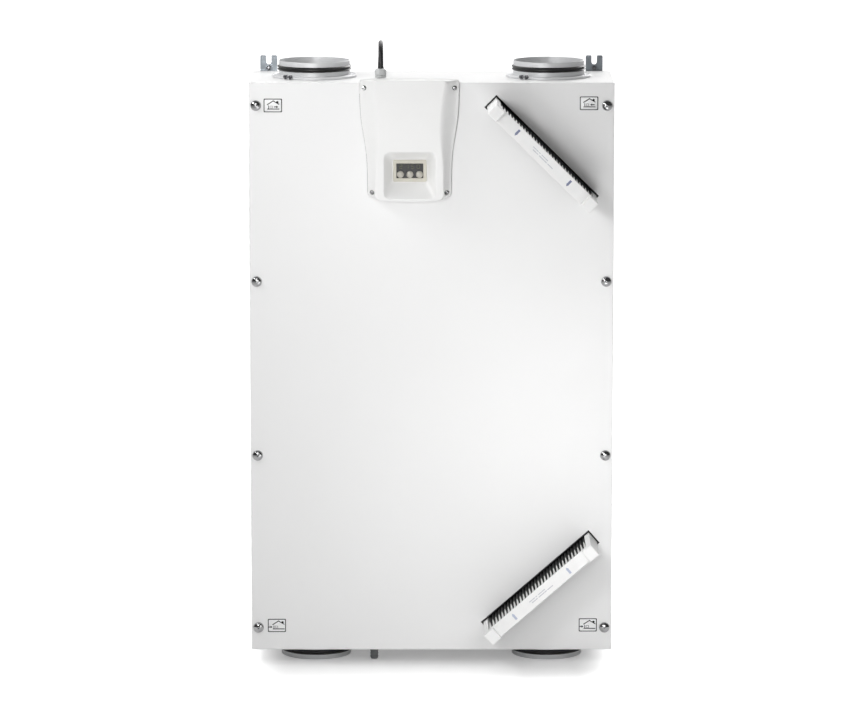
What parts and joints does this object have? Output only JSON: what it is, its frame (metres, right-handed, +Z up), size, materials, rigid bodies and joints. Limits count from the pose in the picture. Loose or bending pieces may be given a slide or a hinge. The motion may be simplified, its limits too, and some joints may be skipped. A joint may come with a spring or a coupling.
{
  "type": "heat recovery unit",
  "caption": "Flat wall-hung ventilation unit with heat exchanger, fans, duct spigots at top and bottom, pull-out filters and a control box with display.",
  "frame": {"origin": "on the floor under the middle of the unit, at the level of the lower duct spigots' rims", "axes": "+Z up along the unit's height; the front cover faces -Y; +X to the right seen from the front"},
  "size_m": [0.632, 0.4935, 1.0962],
  "materials": {
    "white_paint": "satin",
    "white_plastic": "satin",
    "grey_plastic": "satin",
    "dark_plastic": "satin",
    "bezel_plastic": "satin",
    "galvanised": "satin",
    "polished_steel": "polished",
    "black_rubber": "matte",
    "lead_sheath": "satin",
    "foam": "matte",
    "exchanger_film": "satin",
    "card": "matte",
    "filter_paper": "matte",
    "circuit_board": "satin"
  },
  "bodies": {
    "root": {"casing_shell": "white_paint", "foam_body": "foam", "exchanger_front_plate": "grey_plastic", "exchanger_core": "exchanger_film", "exchanger_rear_plate": "grey_plastic", "exchanger_strap": "dark_plastic", "bypass_divider": "foam", "bypass_actuator": "dark_plastic", "upper_fan_scroll": "dark_plastic", "upper_fan_motor": "galvanised", "lower_fan_scroll": "dark_plastic", "lower_fan_motor": "galvanised", "upper_left_duct_collar": "galvanised", "upper_right_duct_collar": "galvanised", "lower_left_duct_collar": "galvanised", "lower_right_duct_collar": "galvanised", "upper_left_lip_seal": "black_rubber", "upper_right_lip_seal": "black_rubber", "lower_left_lip_seal": "black_rubber", "lower_right_lip_seal": "black_rubber", "upper_left_clamp_ring": "galvanised", "upper_right_clamp_ring": "galvanised", "lower_left_clamp_ring": "galvanised", "lower_right_clamp_ring": "galvanised", "left_wall_bracket": "galvanised", "right_wall_bracket": "galvanised", "condensate_tray": "dark_plastic", "drain_pipe": "grey_plastic", "control_box_base": "white_plastic", "control_box_lid": "white_plastic", "circuit_board": "circuit_board", "display_bezel": "bezel_plastic", "display_module": "dark_plastic", "gland_body": "grey_plastic", "gland_nut": "grey_plastic", "power_cord": "lead_sheath", "cord_coil": "lead_sheath", "mains_plug": "dark_plastic"},
    "front_cover": {"front_panel": "white_paint", "cover_insulation": "foam", "upper_slot_gasket": "black_rubber", "lower_slot_gasket": "black_rubber", "cover_screw_left_1": "polished_steel", "cover_screw_left_2": "polished_steel", "cover_screw_left_3": "polished_steel", "cover_screw_left_4": "polished_steel", "cover_screw_right_1": "polished_steel", "cover_screw_right_2": "polished_steel", "cover_screw_right_3": "polished_steel", "cover_screw_right_4": "polished_steel"},
    "upper_filter": {"upper_filter_frame": "card", "upper_filter_pleats": "filter_paper"},
    "lower_filter": {"lower_filter_frame": "card", "lower_filter_pleats": "filter_paper"},
    "upper_impeller": {"upper_fan_impeller": "grey_plastic"},
    "lower_impeller": {"lower_fan_impeller": "grey_plastic"},
    "bypass_damper": {"bypass_flap": "grey_plastic"},
    "left_button": {"button_1": "bezel_plastic"},
    "middle_button": {"button_2": "bezel_plastic"},
    "right_button": {"button_3": "bezel_plastic"}
  },
  "joints": [
    {"name": "front_cover_slide", "type": "slide", "parent": "root", "child": "front_cover", "axis": [0, -1, 0], "range_m": [0, 0.3]},
    {"name": "upper_filter_slide", "type": "slide", "parent": "root", "child": "upper_filter", "axis": [0, -1, 0], "range_m": [-0.1, 0.09]},
    {"name": "lower_filter_slide", "type": "slide", "parent": "root", "child": "lower_filter", "axis": [0, -1, 0], "range_m": [-0.1, 0.09]},
    {"name": "upper_fan_spin", "type": "hinge", "parent": "root", "child": "upper_impeller", "pos_m": [-0.19, 0.098, 0.881], "axis": [0, 1, 0], "continuous": true},
    {"name": "lower_fan_spin", "type": "hinge", "parent": "root", "child": "lower_impeller", "pos_m": [-0.19, 0.098, 0.177], "axis": [0, 1, 0], "continuous": true},
    {"name": "bypass_flap_turn", "type": "hinge", "parent": "root", "child": "bypass_damper", "pos_m": [0.17024, 0.1151, 0.88835], "axis": [-0.712, 0, 0.7021], "range_deg": [0, 90]},
    {"name": "left_button_press", "type": "slide", "parent": "root", "child": "left_button", "axis": [0, 1, 0], "range_m": [0, 0.0008], "stiffness_N_per_m": 400},
    {"name": "middle_button_press", "type": "slide", "parent": "root", "child": "middle_button", "axis": [0, 1, 0], "range_m": [0, 0.0008], "stiffness_N_per_m": 400},
    {"name": "right_button_press", "type": "slide", "parent": "root", "child": "right_button", "axis": [0, 1, 0], "range_m": [0, 0.0008], "stiffness_N_per_m": 400}
  ]
}
